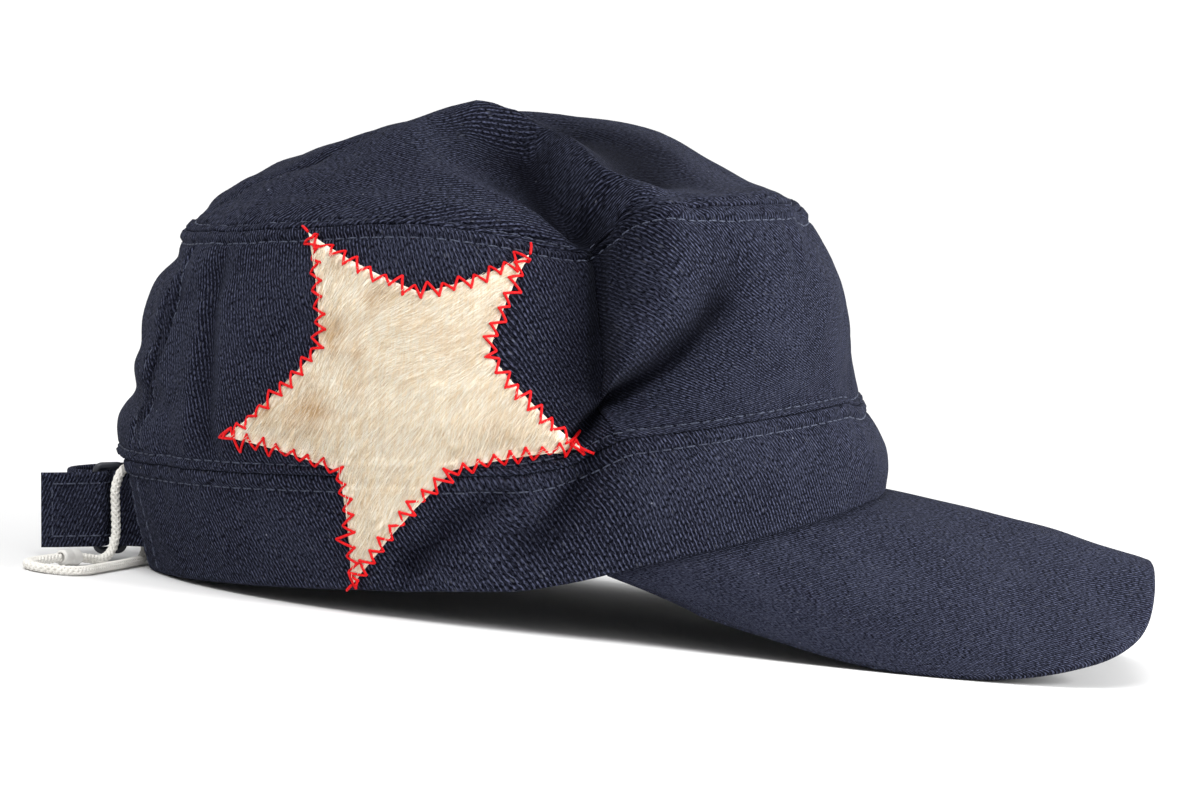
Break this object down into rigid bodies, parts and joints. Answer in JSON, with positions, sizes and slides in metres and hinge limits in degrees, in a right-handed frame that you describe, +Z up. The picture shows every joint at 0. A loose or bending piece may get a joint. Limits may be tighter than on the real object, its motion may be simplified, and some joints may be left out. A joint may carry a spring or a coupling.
{
  "type": "cadet cap",
  "caption": "Soft twill cadet cap with a domed crown, curved peak, hide star patch, and back strap with a looped cord.",
  "frame": {"origin": "on the surface that the cap rests on, under the middle of the cap without its cord", "axes": "+X out of the peak, -Y towards the side with the star, +Z up"},
  "size_m": [0.299, 0.1674, 0.134],
  "materials": {
    "twill": "navy cotton twill, matt, slightly faded",
    "hide": "short-haired cream hide with tan mottling",
    "ring_plastic": "plain dark moulded plastic",
    "cord": "white braided cotton cord",
    "sleeve_plastic": "white plastic, satin"
  },
  "bodies": {
    "root": {"crown_top": "twill", "crown_front": "twill", "crown_side_star": "twill", "crown_side_plain": "twill", "crown_back": "twill", "band": "twill", "peak": "twill", "star_patch": "hide", "strap": "twill", "strap_root": "twill", "strap_ring": "ring_plastic", "cord_loop": "cord", "cord_sleeve": "sleeve_plastic"}
  },
  "joints": []
}
